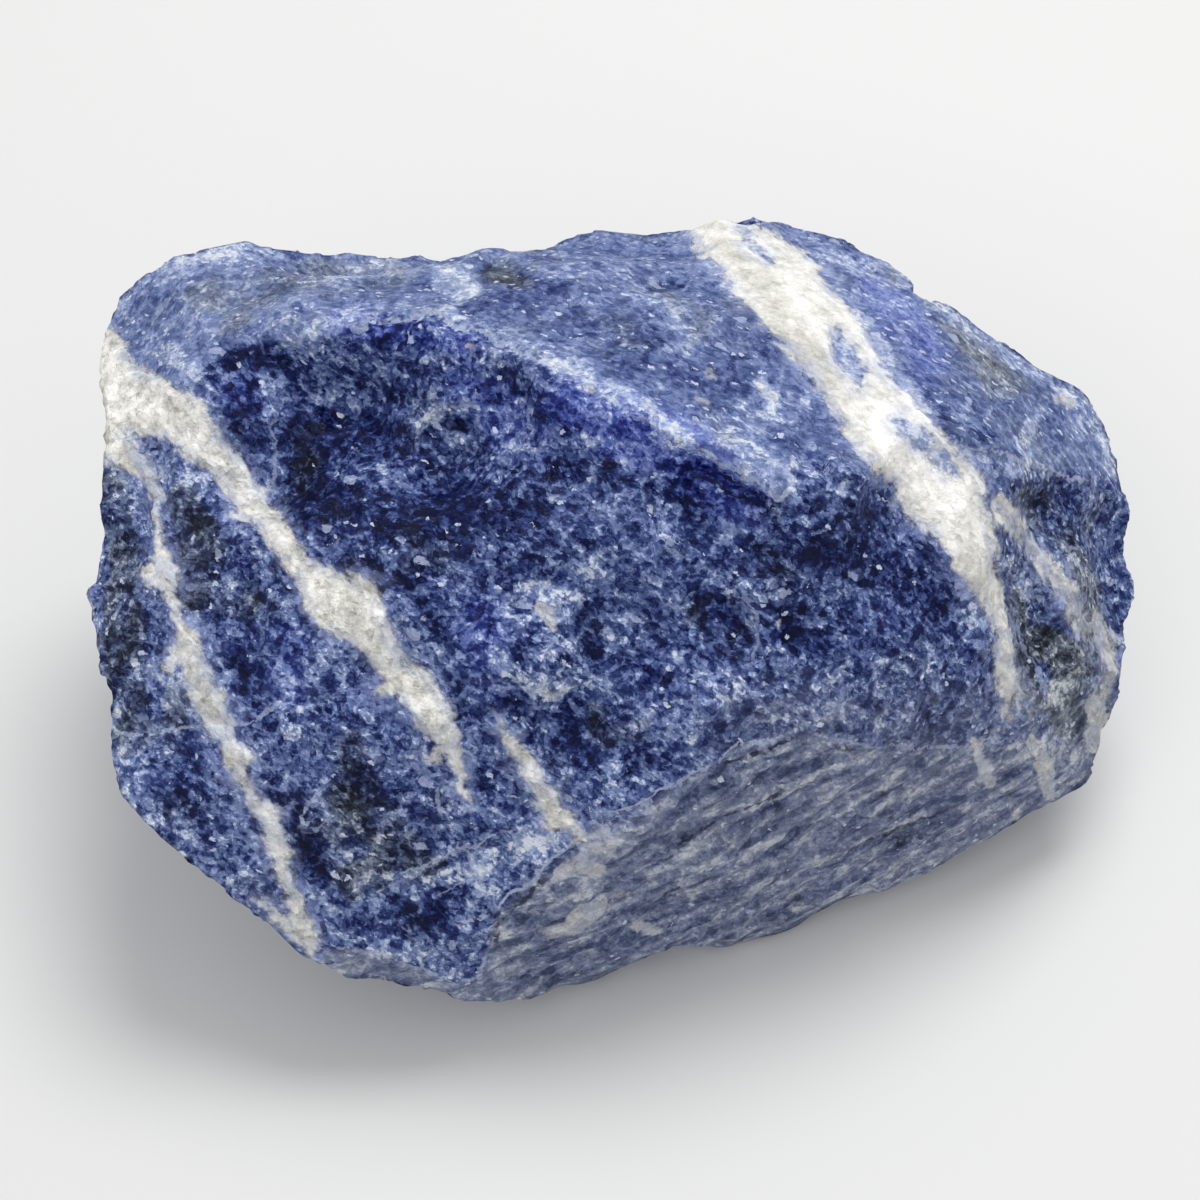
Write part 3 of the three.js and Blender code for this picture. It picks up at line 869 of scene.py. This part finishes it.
BLUE_ROCK = [
    (0.00, (1, 8, 50)), (0.14, (12, 26, 82)), (0.30, (41, 57, 114)), (0.50, (84, 101, 151)),
    (0.70, (127, 143, 189)), (0.85, (168, 181, 214)), (1.00, (222, 229, 240)),
]
PURE_BLUE = [
    (0.00, (2, 8, 68)), (0.14, (16, 28, 108)), (0.30, (43, 58, 146)), (0.50, (84, 101, 180)),
    (0.70, (126, 142, 208)), (0.85, (166, 179, 224)), (1.00, (222, 229, 244)),
]
GREY_ROCK = [
    (0.00, (8, 12, 22)), (0.25, (40, 47, 60)), (0.50, (86, 95, 110)), (0.75, (142, 149, 162)),
    (1.00, (216, 219, 222)),
]
LOWER_FACE = [
    (0.36, (24, 33, 60)), (0.52, (68, 79, 110)), (0.65, (106, 115, 144)),
    (0.79, (141, 149, 172)), (0.94, (200, 204, 210)),
]
WHITE_VEIN = [
    (0.05, (112, 112, 116)), (0.30, (160, 160, 158)), (0.55, (204, 202, 194)),
    (0.82, (238, 236, 230)), (1.00, (252, 250, 244)),
]
# Pale flecks and flakes of the rock, partly painted glints.
FLECK_AND_GLINT, FLAKE_AND_GLINT = (206, 215, 236), (186, 198, 230)
# Pale lines are partly painted highlight along edges, dark lines partly painted shadow under
# ledges.
PALE_LINE, DARK_LINE = (172, 183, 212), (14, 20, 46)
VEIN_HALO, VEIN_BORDER = (150, 163, 206), (176, 187, 216)
FLOOR = (219, 219, 217)

# ---- the material ----

SHARD, CRUMB, GRIT = 1.7 * MM, 0.62 * MM, 0.28 * MM  # sizes of the crystals
PLATE = 0.95 * MM  # and of the streaks on the lower face


def rgb(colour):
    """Linear colour from sRGB values of 0 to 255."""
    def linear(value):
        value /= 255
        return value / 12.92 if value <= 0.04045 else ((value + 0.055) / 1.055) ** 2.4
    return (*map(linear, colour), 1.0)


class Graph:
    """A material's nodes. Most methods return the output socket of what they add."""

    def __init__(self, name):
        self.material = bpy.data.materials.new(name)
        self.material.use_nodes = True
        self.tree = self.material.node_tree
        self.tree.nodes.clear()

    def node(self, kind, inputs=None, **settings):
        node = self.tree.nodes.new("ShaderNode" + kind)
        for name, value in settings.items():
            setattr(node, name, value)
        for name, value in (inputs or {}).items():
            if isinstance(value, bpy.types.NodeSocket):
                self.tree.links.new(value, node.inputs[name])
            else:
                node.inputs[name].default_value = value
        return node

    def math(self, operation, a, b=0.0, c=0.0):
        return self.node("Math", {0: a, 1: b, 2: c}, operation=operation).outputs[0]

    def sum(self, base, *terms):
        """The base and, on top of it, each value times its share."""
        for value, share in terms:
            base = self.math("MULTIPLY_ADD", value, share, base)
        return base

    def times(self, a, b):
        return self.math("MULTIPLY", a, b)

    def vector(self, operation, a, b):
        values = {0: a, "Scale" if operation == "SCALE" else 1: b}
        node = self.node("VectorMath", values, operation=operation)
        return node.outputs["Value" if operation == "DOT_PRODUCT" else "Vector"]

    def moved(self, vector, *moves):
        """The vector and, on top of it, each of the vectors times its size."""
        for move, size in moves:
            vector = self.vector("ADD", vector, self.vector("SCALE", move, size))
        return vector

    def field(self, name):
        return self.node("Attribute", attribute_name=name).outputs["Fac"]

    def noise(self, vector, size, detail, roughness, out="Fac", **settings):
        values = {"Vector": vector, "Scale": 1 / size, "Detail": detail, "Roughness": roughness}
        return self.node("TexNoise", values, **settings).outputs[out]

    def jitter(self, vector, size, detail, roughness):
        """A vector of noise round zero."""
        colour = self.noise(vector, size, detail, roughness, "Color")
        return self.vector("SUBTRACT", colour, (0.5, 0.5, 0.5))

    def ridges(self, vector, size):
        """Sharp ridges of many sizes, up to about 1.5."""
        fac = self.noise(vector, size, 4.0, 0.62, noise_type="RIDGED_MULTIFRACTAL")
        fac.node.inputs["Offset"].default_value = 1.0
        fac.node.inputs["Gain"].default_value = 1.4
        return fac

    def cells(self, vector, size):
        """Cells: three random numbers for each, the distance from its middle, and the height
        of a tilted face on it."""
        node = self.node("TexVoronoi", {"Vector": vector, "Scale": 1 / size})
        away = self.vector("SUBTRACT", vector, node.outputs["Position"])
        tilt = self.vector("SUBTRACT", node.outputs["Color"], (0.5, 0.5, 0.5))
        return SimpleNamespace(
            random=self.node("SeparateColor", {0: node.outputs["Color"]}).outputs,
            distance=node.outputs["Distance"],
            rise=self.vector("DOT_PRODUCT", away, tilt),
        )

    def stretched(self, vector, turn, scale):
        """The space drawn out by the scale along its own axes, which are then turned."""
        values = {"Vector": vector, "Rotation": turn, "Scale": scale}
        return self.node("Mapping", values, vector_type="TEXTURE").outputs[0]

    def between(self, value, low, high):
        """0 at low and beyond it, 1 at high and beyond it, and a smooth slope between."""
        values = {"Value": value, "From Min": low, "From Max": high}
        return self.node("MapRange", values, interpolation_type="SMOOTHSTEP").outputs[0]

    def mix(self, share, a, b):
        return self.node("Mix", {0: share, 2: a, 3: b}).outputs[0]

    def tinted(self, colour, other, share):
        """The colour mixed with another, which is a socket or an sRGB colour."""
        values = {0: share, 6: colour, 7: rgb(other) if isinstance(other, tuple) else other}
        return self.node("Mix", values, data_type="RGBA").outputs[2]

    def ramp(self, value, stops):
        node = self.node("ValToRGB", {0: value})
        elements = node.color_ramp.elements
        while len(elements) < len(stops):
            elements.new(0.5)
        for element, (position, colour) in zip(elements, stops):
            element.position = position
            element.color = rgb(colour)
        return node.outputs[0]

    def finish(self, inputs):
        """The material, with a Principled shader for its surface."""
        shader = self.node("BsdfPrincipled", inputs)
        self.node("OutputMaterial", {"Surface": shader.outputs[0]})
        return self.material


# In what follows g is the graph of a material, and s holds the sockets that its parts share.


def shared_sockets(g):
    """Places and their jitters, crystals of three sizes, fields, and the shape of the veins."""
    s = SimpleNamespace()
    s.place = g.node("TexCoord").outputs["Object"]
    s.wobble = g.jitter(s.place, 1.6 * MM, 2.0, 0.55)
    s.shiver = g.jitter(s.place, 0.34 * MM, 2.0, 0.65)
    s.drift = g.node("SeparateXYZ", {0: s.wobble}).outputs
    s.grain = g.vector("DOT_PRODUCT", s.shiver, (0.6, 0.6, 0.6))
    s.warped = g.moved(s.place, (s.wobble, 0.55 * MM), (s.shiver, 0.32 * MM))
    leaning = g.stretched(s.warped, (0.3, 0.25, -0.5), (1.15, 0.7, 0.8))
    s.shard, s.crumb, s.grit = (g.cells(leaning, size) for size in (SHARD, CRUMB, GRIT))
    s.light, s.above, s.dull, s.sugar = map(g.field, ("light", "above", "dull", "sugar"))

    along_vein = g.stretched(s.place, (0.0, 0.0, -0.9), (2.4, 1.0, 1.0))
    s.ragged = g.math("SUBTRACT", g.noise(along_vein, 1.0 * MM, 4.0, 0.66), 0.5)
    s.depth = g.sum(g.field("vein"), (s.ragged, 2.2))
    s.vein = g.between(s.depth, -0.3, 0.25)
    s.lumpy = g.sum(0.9, (s.sugar, 0.4))
    return s


def rock_tone(g, s):
    """How light the rock is: each crystal a little lighter or darker than the next."""
    ridges = g.ridges(s.warped, 1.2 * MM)
    change = g.sum(
        -0.31, (s.shard.random[0], 0.16), (s.grain, 0.30),
        (g.math("POWER", s.crumb.random[0], 3.0), 0.28),
        (g.math("POWER", s.grit.random[0], 3.0), 0.28),
        (ridges, 0.10), (g.between(ridges, 1.22, 1.32), 0.18),
        (g.between(s.crumb.rise, 0.02 * MM, 0.03 * MM), 0.09),
        (g.between(s.shard.rise, 0.05 * MM, 0.07 * MM), 0.07),
    )
    calm = g.sum(1.0, (s.above, -0.5))
    scatter = g.sum(0.0, (s.grain, 0.6), (s.crumb.random[1], 0.4))
    lit = g.between(g.math("ADD", s.light, scatter), 0.30, 1.0)
    deep = g.between(g.math("ADD", g.field("dark"), scatter), 0.30, 1.1)
    # Strokes stronger than 1 lighten further; on the bevel over the lower crease this is painted
    # light.
    glow = g.math("MAXIMUM", g.math("SUBTRACT", s.light, 1.0), 0.0)
    return g.sum(g.field("tone"), (change, calm), (lit, 0.27), (glow, 0.5), (deep, -0.26))


def rock_colour(g, s, tone):
    """Blue rock, purer in places and greyer in others."""
    vivid = g.times(g.field("vivid"), 0.7)
    blue = g.tinted(g.ramp(tone, BLUE_ROCK), g.ramp(tone, PURE_BLUE), vivid)
    greyness = g.sum(g.field("grey"), (s.drift[1], 0.6))
    return g.tinted(blue, g.ramp(tone, GREY_ROCK), g.between(greyness, 0.0, 1.1))


def lower_colour(g, s, tone):
    """The streaked and greyer face below the crease."""
    drawn = g.moved(s.place, (s.wobble, 0.9 * MM), (s.shiver, 0.12 * MM))
    slanted = g.stretched(drawn, (0, -STREAK_TURN, 0), (3.4, 1.6, 1.0))
    plate = g.cells(slanted, PLATE)
    streaks = g.noise(slanted, 1.1 * MM, 3.0, 0.55)
    return g.ramp(g.sum(streaks, (tone, 0.24), (plate.random[0], 0.20)), LOWER_FACE)


def with_flecks_and_glints(g, s, rock):
    """Small pale flecks and larger flakes, each cut off straight on one side, partly painted
    glints.
    """
    ragged = g.sum(s.crumb.distance, (s.grain, 0.4), (s.grit.random[1], 0.3))
    fleck_and_glint = g.times(g.between(ragged, 0.59, 0.51), g.between(s.crumb.rise, -0.06 * MM, -0.04 * MM))
    few = g.between(g.sum(s.crumb.random[2], (s.above, 0.09)), 0.96, 0.97)
    rock = g.tinted(rock, FLECK_AND_GLINT, g.times(g.times(few, fleck_and_glint), 0.85))
    ragged = g.sum(s.shard.distance, (s.grain, 0.35))
    flake_and_glint = g.times(g.between(ragged, 0.40, 0.35), g.between(s.shard.rise, 0.0, 0.03 * MM))
    few = g.between(g.sum(s.shard.random[2], (s.above, 0.10)), 0.95, 0.96)
    return g.tinted(rock, FLAKE_AND_GLINT, g.times(g.times(few, flake_and_glint), 0.6))


def with_lines(g, s, rock):
    """Thin healed cracks and creases, pale or dark, with painted highlight and shadow along some
    edges.
    """
    astray = g.sum(g.field("line"), (s.grain, 0.4), (s.drift[0], 1.4))
    away = g.sum(g.math("ABSOLUTE", astray), (s.shard.random[1], -0.14))
    on_line = g.times(g.between(away, 0.14, 0.0), g.between(s.crumb.random[2], 0.0, 0.35))
    pale = g.times(g.field("line_strength"), on_line)
    rock = g.tinted(rock, PALE_LINE, g.math("MAXIMUM", pale, 0.0))
    return g.tinted(rock, DARK_LINE, g.math("MAXIMUM", g.times(pale, -1.0), 0.0))


def with_veins(g, s, rock):
    """White veins, lavender along their edges, and cream patches."""
    halo = g.between(g.math("ADD", s.depth, s.crumb.random[0]), -0.9, 0.6)
    rock = g.tinted(rock, VEIN_HALO, g.times(halo, g.times(s.shard.random[2], 0.75)))
    crystals = g.sum(
        -0.12, (s.ragged, 0.4), (s.grain, 0.45), (s.crumb.random[0], 0.14),
        (s.shard.random[0], 0.10), (s.drift[2], 0.7),
    )
    # The light strokes lighten the veins as well: painted light on the lower half of the right
    # vein.
    shade = g.sum(
        0.77, (s.sugar, -0.11), (crystals, s.lumpy), (s.light, 0.22), (s.dull, -0.22),
        (g.between(s.depth, 0.9, 0.0), -0.14),
    )
    border = g.times(g.between(s.depth, 1.3, 0.1), s.shard.random[1])
    white = g.tinted(g.ramp(shade, WHITE_VEIN), VEIN_BORDER, g.times(border, 0.6))
    cream = g.between(g.sum(g.field("cream"), (s.ragged, 1.2)), 0.30, 0.75)
    rock = g.tinted(rock, white, g.times(cream, 0.7))
    cover = g.sum(1.0, (g.between(s.dull, 0.85, 1.0), -0.45))
    return g.tinted(rock, white, g.times(s.vein, cover))


def fine_relief(g, s):
    """Tilted crystals in the rock, sugary lumps in the veins."""
    fine = g.sum(
        0.0, (s.shard.rise, 0.45), (s.crumb.rise, 0.6), (s.grit.rise, 0.6), (s.grain, 0.04 * MM),
    )
    sugar = g.sum(0.0, (s.crumb.rise, 0.5), (s.ragged, 0.10 * MM), (s.grain, 0.07 * MM))
    height = g.mix(s.vein, fine, g.times(sugar, s.lumpy))
    values = {"Height": height, "Strength": 1.0, "Distance": 1.0}
    return g.node("Bump", values).outputs[0]


def sodalite_material():
    g = Graph("sodalite_rock")
    s = shared_sockets(g)
    tone = rock_tone(g, s)
    rock = rock_colour(g, s, tone)
    rock = g.tinted(rock, lower_colour(g, s, tone), g.times(g.field("lower"), 0.85))
    rock = with_lines(g, s, with_flecks_and_glints(g, s, rock))
    gloss = g.sum(0.34, (s.shard.random[1], 0.4))
    return g.finish({
        "Base Color": with_veins(g, s, rock), "Roughness": g.mix(s.vein, gloss, 0.75),
        "Normal": fine_relief(g, s), "Specular IOR Level": 0.18,
    })


# ---- the studio ----


def make_floor():
    half = 0.8
    corners = [(-half, -half, 0), (half, -half, 0), (half, half, 0), (-half, half, 0)]
    mesh = bpy.data.meshes.new("floor")
    mesh.from_pydata(corners, [], [(0, 1, 2, 3)])
    look = {"Base Color": rgb(FLOOR), "Roughness": 0.55}
    mesh.materials.append(Graph("pale_floor").finish(look))
    added("floor", mesh)


def make_light(name, place, size, power):
    data = bpy.data.lights.new(name, "AREA")
    data.shape = "DISK"
    data.size = size
    data.energy = power
    light = added(name, data)
    light.location = place
    light.rotation_euler = (TARGET - Vector(place)).to_track_quat("-Z", "Y").to_euler()


def make_studio():
    make_floor()
    make_light("key", (0.10, 0.26, 0.55), 0.34, 2.2)
    make_light("fill", (-0.30, -0.45, 0.45), 0.5, 0.9)
    world = bpy.data.worlds.new("pale_room")
    world.use_nodes = True
    background = world.node_tree.nodes["Background"].inputs
    background["Color"].default_value = (0.97, 0.98, 1.0, 1)
    background["Strength"].default_value = 0.62
    bpy.context.scene.world = world
    bpy.context.scene.view_settings.view_transform = "Standard"


def make_camera():
    data = bpy.data.cameras.new("camera")
    data.sensor_width = SENSOR_MM
    data.lens = FOCAL_PX * SENSOR_MM / FRAME_PX
    data.clip_start, data.clip_end = 0.01, 10
    camera = added("camera", data)
    camera.location = EYE
    camera.rotation_euler = (-BACK).to_track_quat("-Z", "Y").to_euler()
    bpy.context.scene.camera = camera


make_camera()
make_studio()
make_stone()
